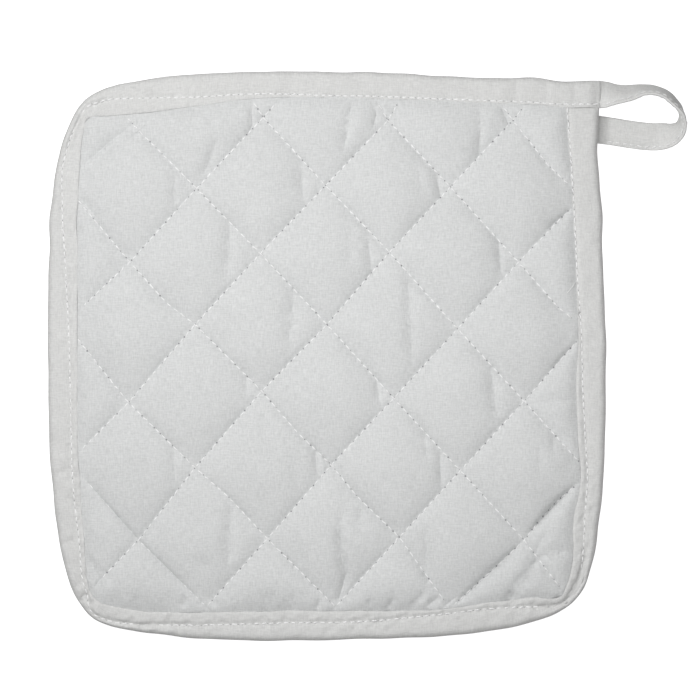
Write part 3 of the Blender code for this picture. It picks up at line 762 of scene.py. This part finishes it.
def make_loop():
    path, across, facing = loop_frames()
    section = list(LOOP_SIDE) + [(a, -b) for a, b in reversed(LOOP_SIDE[1:-1])]
    count, wide = len(path), len(section)
    run = run_length(path[:, :3])
    points, cloth, stitches = (np.zeros((count, wide, 3)) for _ in range(3))
    for k, (a, b) in enumerate(section):
        offset = 0.07 * waviness(np.column_stack([run, np.full(count, a * 5.0)]), 7.0, 31) * (abs(b) > 0.5)
        points[:, k] = (path[:, :3] + across * a * LOOP_WIDTH / 2.0
                        + facing * (b * path[:, 4] / 2.0 + np.sign(b) * offset)[:, None])
        cloth[:, k, 0] = run
        cloth[:, k, 1] = a * LOOP_WIDTH / 2.0 + (LOOP_BACK_SHIFT if b < 0 else 0.0)
        stitches[:, k, 0] = (a - LOOP_SEAM_AT) * LOOP_WIDTH / 2.0
        stitches[:, k, 1] = run
    points[:, :, 2] = np.maximum(points[:, :, 2], LOOP_LEAST_Z)
    return make_strip("loop_strip", "hanging_loop", points, cloth, stitches, -1)


# Sewing thread

STITCH_ALONG = (-0.5, -0.44, -0.34, -0.15, 0.15, 0.34, 0.44, 0.5)
STITCH_THICK = (0.35, 0.8, 1.0, 1.05, 1.05, 1.0, 0.8, 0.35)
STITCH_RISE = (-0.42, -0.16, 0.0, 0.06, 0.06, 0.0, -0.16, -0.42)
STITCH_SIDES = 6


def tube_faces(start, rings, sides):
    """Faces of a tube from its rings of points, with both ends shut."""
    faces = []
    for ring in range(rings - 1):
        for side in range(sides):
            a = start + ring * sides + side
            b = start + ring * sides + (side + 1) % sides
            faces.append((a, b, b + sides, a + sides))
    faces.append(tuple(start + side for side in reversed(range(sides))))
    faces.append(tuple(start + (rings - 1) * sides + side for side in range(sides)))
    return faces


def path_at(path, run, at):
    """Points of a path at the given distances along it."""
    return np.column_stack([np.interp(at, run, values) for values in path.T])


def along_path(path, pitch, shift):
    """Middles and directions of the stitches along a path of points."""
    run = run_length(path)
    at = np.arange(pitch * shift, run[-1] - pitch * 0.3, pitch)
    before, middle, after = (path_at(path, run, at + share * pitch) for share in (-0.4, 0.0, 0.4))
    ahead = after - before
    return middle, ahead / np.linalg.norm(ahead, axis=1)[:, None]


def stitch_mesh(middles, aheads, ups, length, seed, radius=THREAD_RADIUS, sunk=0.0):
    """Points and faces of stitches that dip into the cloth at both ends."""
    rng = np.random.default_rng(seed)
    points, faces = [], []
    for middle, ahead, up in zip(middles, aheads, ups):
        across = np.cross(up, ahead)
        across /= np.linalg.norm(across)
        up = np.cross(ahead, across)
        turn = rng.normal(0.10, 0.12)
        ahead = ahead * math.cos(turn) + across * math.sin(turn)
        across = np.cross(up, ahead)
        long = length * rng.uniform(0.82, 1.08)
        thick = radius * rng.uniform(0.88, 1.12)
        lift = rng.uniform(-0.16, 0.04) - sunk
        start = len(points)
        for share, size, rise in zip(STITCH_ALONG, STITCH_THICK, STITCH_RISE):
            centre = middle + ahead * share * long + up * (rise + lift + thick * 0.6)
            for side in range(STITCH_SIDES):
                angle = 2.0 * math.pi * side / STITCH_SIDES
                way = across * math.cos(angle) + up * 0.8 * math.sin(angle)
                points.append(centre + way * thick * size)
        faces += tube_faces(start, len(STITCH_ALONG), STITCH_SIDES)
    return points, faces


def join(parts):
    points, faces = [], []
    for some_points, some_faces in parts:
        start = len(points)
        points += list(some_points)
        faces += [tuple(start + k for k in face) for face in some_faces]
    return points, faces


HOLE_SIDES = 8


def hole_mesh(middles, surface, seed, share_shown):
    """Small cups where the needle went through, with rims that follow the cloth. They carry painted shade:
    a dark colour standing in for the shadow inside each hole.
    """
    rng = np.random.default_rng(seed)
    points, faces = [], []
    angles = 2.0 * math.pi * np.arange(HOLE_SIDES) / HOLE_SIDES
    for middle in middles:
        shown = rng.uniform() < share_shown
        radius = rng.uniform(0.14, 0.31)
        if not shown:
            continue
        start = len(points)
        rim = middle + radius * np.column_stack([np.cos(angles), np.sin(angles)])
        height = surface(np.vstack([middle[None], rim])) + 0.05
        points.append((*middle, height[0] - 0.03))
        points.extend((*spot, z) for spot, z in zip(rim, height[1:]))
        for side in range(HOLE_SIDES):
            faces.append((start, start + 1 + side, start + 1 + (side + 1) % HOLE_SIDES))
    return points, faces


UP = np.array((0.0, 0.0, 1.0))


def fine_line(line):
    places = line_points(line)
    run = run_length(places)
    return path_at(places, run, np.arange(0.0, run[-1], 0.25))


# The first line of each family shows no needle marks, and hardly any thread: how deep it lies, by line.
PLAIN_LINES = {0: 0.24, len(FALLING): 0.7}
RISING_SUNK = 0.10


def make_quilting_thread():
    top_parts, under_parts, hole_parts = [], [], []
    for k, line in enumerate(FALLING + RISING):
        rising = k >= len(FALLING)
        sunk = PLAIN_LINES.get(k, RISING_SUNK if rising else 0.0)
        middle, ahead = along_path(fine_line(line), QUILT_STITCH, 0.3 + 0.05 * (k % 7))
        inside = distance_inside(middle, leg_ring)
        kept = inside > 0.5
        middle, ahead = middle[kept], ahead[kept]
        ends = middle + ahead * QUILT_STITCH / 2.0
        for height, parts, sign in ((top_height, top_parts, 1.0), (under_height, under_parts, -1.0)):
            back, here, front = (height(middle + ahead * step) for step in (-1.2, 0.0, 1.2))
            direction = np.column_stack([ahead, (front - back) / 2.4])
            direction /= np.linalg.norm(direction, axis=1)[:, None]
            ups = np.tile(UP * sign, (len(middle), 1))
            lower = np.minimum if sign > 0 else np.maximum
            spots = np.column_stack([middle, lower(here, (front + back) / 2.0)])
            parts.append(stitch_mesh(spots, direction, ups, QUILT_STITCH_SHOWN, 100 + k, sunk=sunk))
        if k not in PLAIN_LINES:
            hole_parts.append(hole_mesh(ends, top_height, 300 + k, 0.9 if rising else 0.6))
    make_piece("quilting_thread_front", *join(top_parts))
    make_piece("quilting_thread_back", *join(under_parts))
    make_piece("needle_marks", *join(hole_parts))


def flat_at(height):
    """Surface of one height."""
    return lambda places: np.full(len(places), height)


def make_edge_thread():
    path = outer + inward * seam_at[:, None]
    half = leg_height(seam_at, strip_width, seam_at)
    parts, hole_parts = [], []
    for sign, seed, shift in ((1.0, 41, 0.5), (-1.0, 42, 0.9)):
        creases = crease_depth(path, EDGE_CREASES) if sign > 0 else 0.0
        z = RIM_MID_Z + strip_lift + sign * (half - creases)
        middle, ahead = along_path(np.column_stack([path, z]), EDGE_STITCH, shift)
        ups = np.tile(UP * sign, (len(middle), 1))
        parts.append(stitch_mesh(middle, ahead, ups, EDGE_STITCH_SHOWN, seed, EDGE_THREAD_RADIUS))
        if sign > 0:
            for spot in middle + ahead * EDGE_STITCH / 2.0:
                hole_parts.append(hole_mesh([spot[:2]], flat_at(spot[2] + 0.1), 43, 1.0))
    make_piece("edge_thread", *join(parts), slot="binding")
    make_piece("edge_needle_marks", *join(hole_parts), slot="binding")


LOOP_THREAD_FROM_X = 97.5
LOOP_THREAD_SUNK = -0.10


def make_loop_thread():
    path, across, facing = loop_frames()
    rows = path[:, 0] > LOOP_THREAD_FROM_X
    parts = []
    for sign in (1.0, -1.0):
        surface = path[:, :3] + across * LOOP_SEAM_AT * LOOP_WIDTH / 2.0
        surface = surface + facing * sign * (0.60 * path[:, 4] / 2.0)[:, None]
        route = np.column_stack([surface, sign * facing])[rows]
        run = run_length(route[:, :3])
        at = np.arange(1.2 if sign > 0 else 2.5, run[-1] - 1.0, EDGE_STITCH)
        middle = path_at(route, run, at)
        spots, ups = middle[:, :3], middle[:, 3:]
        ahead = path_at(route[:, :3], run, at + 0.6) - spots
        ahead /= np.linalg.norm(ahead, axis=1)[:, None]
        parts.append(stitch_mesh(spots, ahead, ups, LOOP_STITCH_SHOWN, 51, sunk=LOOP_THREAD_SUNK))
    points, faces = join(parts)
    points = np.array(points)
    points[:, 2] = np.maximum(points[:, 2], 0.01)
    make_piece("loop_thread", points, faces, slot="hanging_loop")


STRAY_THREAD = ((84.6, 22.7), (85.2, 23.3), (85.9, 24.2), (86.6, 24.9), (87.2, 25.9), (87.9, 27.0))


def make_loose_thread():
    """A stray end of thread at the right seam."""
    path = spline([(x, y, 0.0) for x, y in STRAY_THREAD], 0.25)
    z = top_height(path[:, :2]) + 0.12
    route = np.column_stack([path[:, :2], np.maximum(z, 5.6)])
    ahead = np.gradient(route, axis=0)
    ahead /= np.linalg.norm(ahead, axis=1)[:, None]
    points = []
    for centre, forward in zip(route, ahead):
        side_way = np.cross(UP, forward)
        side_way /= np.linalg.norm(side_way)
        for side in range(STITCH_SIDES):
            angle = 2.0 * math.pi * side / STITCH_SIDES
            way = side_way * math.cos(angle) + UP * math.sin(angle)
            points.append(centre + way * STRAY_THREAD_RADIUS)
    make_piece("stray_thread", points, tube_faces(0, len(route), STITCH_SIDES), slot="binding")


# Materials

class Graph:
    """Short calls for building a material's nodes."""

    def __init__(self, name):
        self.material = bpy.data.materials.new(name)
        self.material.use_nodes = True
        self.tree = self.material.node_tree
        self.shader = self.tree.nodes["Principled BSDF"]

    def link(self, value, socket):
        if isinstance(value, (int, float, tuple)):
            socket.default_value = value
        else:
            self.tree.links.new(value, socket)

    def attribute(self, name):
        node = self.tree.nodes.new("ShaderNodeAttribute")
        node.attribute_name = name
        return node.outputs["Vector"]

    def split(self, vector):
        node = self.tree.nodes.new("ShaderNodeSeparateXYZ")
        self.link(vector, node.inputs[0])
        return node.outputs

    def join(self, x, y):
        node = self.tree.nodes.new("ShaderNodeCombineXYZ")
        for value, socket in zip((x, y), node.inputs):
            self.link(value, socket)
        return node.outputs[0]

    def calc(self, operation, first, second=0.0, third=0.0):
        node = self.tree.nodes.new("ShaderNodeMath")
        node.operation = operation
        for value, socket in zip((first, second, third), node.inputs):
            self.link(value, socket)
        return node.outputs[0]

    def scaled(self, x, y, x_scale, y_scale):
        """Coordinates scaled differently along and across, for streaks."""
        return self.join(self.calc("MULTIPLY", x, x_scale), self.calc("MULTIPLY", y, y_scale))

    def noise(self, vector, scale, detail, rough=0.5):
        node = self.tree.nodes.new("ShaderNodeTexNoise")
        self.link(vector, node.inputs["Vector"])
        node.inputs["Scale"].default_value = scale
        node.inputs["Detail"].default_value = detail
        node.inputs["Roughness"].default_value = rough
        return node.outputs[0]

    def mix(self, share, first, second):
        node = self.tree.nodes.new("ShaderNodeMix")
        node.data_type = "RGBA"
        self.link(share, node.inputs[0])
        self.link(first, node.inputs[6])
        self.link(second, node.inputs[7])
        return node.outputs[2]

    def bump(self, height, distance, normal=None):
        node = self.tree.nodes.new("ShaderNodeBump")
        node.inputs["Strength"].default_value = 1.0
        node.inputs["Distance"].default_value = distance
        self.link(height, node.inputs["Height"])
        if normal is not None:
            self.link(normal, node.inputs["Normal"])
        return node.outputs[0]


def opaque(colour):
    return (*colour, 1.0)


def seam_relief(graph, label, pitch):
    """Height of the cloth round the stitches: pinched at the needle holes, wrinkled just beside them."""
    calc = graph.calc
    gap, run, _ = graph.split(graph.attribute(label))
    away = calc("ABSOLUTE", gap)
    beat = calc("COSINE", calc("MULTIPLY", run, 2.0 * math.pi / pitch))
    beat = calc("MULTIPLY_ADD", beat, 0.25, 0.5)
    pinch = calc("MULTIPLY", calc("EXPONENT", calc("MULTIPLY", away, -1.1)), beat)
    ripple = graph.noise(graph.scaled(run, gap, 0.42, 0.10), 1.0, 1.0)
    reach = calc("EXPONENT", calc("MULTIPLY", away, -0.38))
    reach = calc("MULTIPLY", reach, calc("MAXIMUM", calc("MULTIPLY_ADD", away, -0.1, 1.0), 0.0))
    wrinkle = calc("MULTIPLY", calc("SUBTRACT", ripple, 0.5), reach)
    return calc("SUBTRACT", calc("MULTIPLY", wrinkle, 1.1), pinch)


WEAVE_PITCHES = (0.37, 0.41)
WEAVE_RELIEF = 0.00007
SEAM_RELIEF = 0.00022
THREAD_RELIEF = 0.00008


def cotton(name, light, dark, seams, weave):
    """Plain weave: streaks of warp and weft, blotches, fuzz, and wrinkles along the seams."""
    graph = Graph(name)
    calc, shader = graph.calc, graph.shader
    shader.inputs["Roughness"].default_value = 0.9
    shader.inputs["Specular IOR Level"].default_value = 0.15
    shader.inputs["Sheen Weight"].default_value = 0.12
    shader.inputs["Sheen Roughness"].default_value = 0.5
    along, over, _ = graph.split(graph.attribute("cloth"))
    warp = graph.noise(graph.scaled(along, over, 2.9, 0.32), 1.0, 1.0)
    weft = graph.noise(graph.scaled(along, over, 0.32, 3.1), 1.0, 1.0)
    threads = calc("ADD", warp, weft)
    grid = [calc("SINE", calc("MULTIPLY", place, 2.0 * math.pi / pitch))
            for place, pitch in zip((along, over), WEAVE_PITCHES)]
    blotch = graph.noise(graph.join(along, over), 0.07, 2.0)
    fuzz = graph.noise(graph.join(along, over), 1.1, 2.0, 0.6)
    tone = calc("MULTIPLY_ADD", calc("SUBTRACT", threads, 1.0), 1.15, 0.5)
    for pattern, share in ((blotch, 0.4), (fuzz, 1.15)):
        tone = calc("ADD", tone, calc("MULTIPLY", calc("SUBTRACT", pattern, 0.5), share))
    tone = calc("MINIMUM", calc("MAXIMUM", tone, 0.0), 1.0)
    graph.link(graph.mix(tone, opaque(dark), opaque(light)), shader.inputs["Base Color"])
    relief = calc("ADD", calc("MULTIPLY", calc("MULTIPLY", *grid), 0.25), calc("ADD", threads, fuzz))
    normal = graph.bump(relief, WEAVE_RELIEF * weave)
    for label, pitch in seams:
        normal = graph.bump(seam_relief(graph, label, pitch), SEAM_RELIEF, normal)
    graph.link(normal, shader.inputs["Normal"])
    return graph.material


def plain(name, colour, rough, twist):
    """Thread, or the painted shade of a needle hole."""
    graph = Graph(name)
    shader = graph.shader
    shader.inputs["Roughness"].default_value = rough
    shader.inputs["Specular IOR Level"].default_value = 0.3 if twist else 0.0
    place = graph.tree.nodes.new("ShaderNodeTexCoord").outputs["Object"]
    speckle = graph.noise(place, 2600.0 if twist else 900.0, 2.0)
    darker = [part * 0.92 for part in colour]
    graph.link(graph.mix(speckle, opaque(darker), opaque(colour)), shader.inputs["Base Color"])
    if twist:
        graph.link(graph.bump(speckle, THREAD_RELIEF), shader.inputs["Normal"])
    return graph.material


def floor_material():
    """Near white to the camera, and duller in the light that it sends back up."""
    graph = Graph("pale_floor")
    shader = graph.shader
    seen = graph.tree.nodes.new("ShaderNodeLightPath").outputs["Is Camera Ray"]
    graph.link(graph.mix(seen, opaque([0.60] * 3), opaque([0.93] * 3)), shader.inputs["Base Color"])
    shader.inputs["Roughness"].default_value = 1.0
    shader.inputs["Specular IOR Level"].default_value = 0.0
    shader.inputs["Emission Color"].default_value = opaque([1.0] * 3)
    graph.link(graph.calc("MULTIPLY", seen, 0.8), shader.inputs["Emission Strength"])
    return graph.material


# Build

pad = make_pad()
binding = make_binding()
loop = make_loop()
make_quilting_thread()
make_edge_thread()
make_loop_thread()
make_loose_thread()

EDGE_SEAM = (("seam_a", EDGE_STITCH),)
QUILT_SEAMS = (("seam_a", QUILT_STITCH), ("seam_b", QUILT_STITCH))

# Columns: piece, then the material's name, light and dark colour, seams and depth of weave.
CLOTHS = (
    (pad, "quilted_cotton", (0.735, 0.742, 0.740), (0.585, 0.592, 0.590), QUILT_SEAMS, 1.0),
    (binding, "strip_cotton", (0.730, 0.730, 0.720), (0.595, 0.595, 0.587), EDGE_SEAM, 0.9),
    # The loop is the same cloth as the binding but has lighter colours: painted light that makes up for the
    # shade on its rolled strip.
    (loop, "loop_cotton_painted_lighter", (0.745, 0.745, 0.733), (0.610, 0.610, 0.601), EDGE_SEAM, 0.9),
)
for piece, *looks in CLOTHS:
    piece.data.materials.append(cotton(*looks))
white_thread = plain("white_thread", (0.91, 0.91, 0.91), 0.5, True)
# The needle holes' dark grey is painted shade, standing in for the shadow inside each hole.
hole_painted_shade = plain("needle_hole_painted_shade", (0.30, 0.30, 0.31), 0.8, False)
for thing in bpy.data.objects:
    for word, material in (("thread", white_thread), ("needle_marks", hole_painted_shade)):
        if thing.type == "MESH" and word in thing.name:
            thing.data.materials.append(material)

FLOOR_REACH = 3.0
FLOOR_Z = -0.00005
floor_mesh = bpy.data.meshes.new("floor")
corners = [(x * FLOOR_REACH, y * FLOOR_REACH, FLOOR_Z) for x, y in ((-1, -1), (1, -1), (1, 1), (-1, 1))]
floor_mesh.from_pydata(corners, [], [(0, 1, 2, 3)])
floor = bpy.data.objects.new("floor", floor_mesh)
floor.data.materials.append(floor_material())
bpy.context.scene.collection.objects.link(floor)


# Light and camera

ZENITH_LIGHT = 0.60
HORIZON_LIGHT = 0.22

# Columns: name, place, target, size, watts. All in metres.
LIGHTS = (
    ("key", (-0.32, 0.29, 0.50), (0.0, 0.0, 0.0), 0.22, 1.52),
    ("fill", (0.02, 0.04, 0.30), (0.02, 0.04, 0.0), 0.2, 0.32),
)


def area_light(name, place, target, size, power):
    data = bpy.data.lights.new(name, "AREA")
    data.shape = "DISK"
    data.size = size
    data.energy = power
    lamp = bpy.data.objects.new(name, data)
    lamp.location = place
    x, y, z = np.array(target) - np.array(place)
    lamp.rotation_euler = (math.atan2(math.hypot(x, y), -z), 0.0, math.atan2(x, -y) + math.pi)
    bpy.context.scene.collection.objects.link(lamp)


def soft_room():
    """World that is bright overhead and dim towards the horizon."""
    world = bpy.data.worlds.new("soft_room")
    world.use_nodes = True
    nodes, links = world.node_tree.nodes, world.node_tree.links
    direction = nodes.new("ShaderNodeTexCoord")
    parts = nodes.new("ShaderNodeSeparateXYZ")
    links.new(direction.outputs["Generated"], parts.inputs[0])
    ramp = nodes.new("ShaderNodeValToRGB")
    ramp.color_ramp.elements[0].color = opaque([HORIZON_LIGHT] * 3)
    ramp.color_ramp.elements[1].color = opaque([1.0] * 3)
    links.new(parts.outputs["Z"], ramp.inputs[0])
    links.new(ramp.outputs[0], nodes["Background"].inputs["Color"])
    nodes["Background"].inputs["Strength"].default_value = ZENITH_LIGHT
    bpy.context.scene.world = world


for row in LIGHTS:
    area_light(*row)
soft_room()
bpy.context.scene.view_settings.view_transform = "Standard"

PHOTO_MM_PER_PIXEL = 0.353
PHOTO_PIXELS = 700
VIEW_MIDDLE = (8.1, 2.5)
CAMERA_HEIGHT = 1.3
SCALE_HEIGHT = 0.004
camera_data = bpy.data.cameras.new("camera")
camera_data.type = "PERSP"
camera_data.sensor_width = 36.0
camera_data.lens = 36.0 * (CAMERA_HEIGHT - SCALE_HEIGHT) / (PHOTO_PIXELS * PHOTO_MM_PER_PIXEL * MM)
camera_data.clip_start = 0.05
camera = bpy.data.objects.new("camera", camera_data)
camera.location = (*((np.array(VIEW_MIDDLE) - REST_POINT[:2]) * MM), CAMERA_HEIGHT)
bpy.context.scene.collection.objects.link(camera)
bpy.context.scene.camera = camera
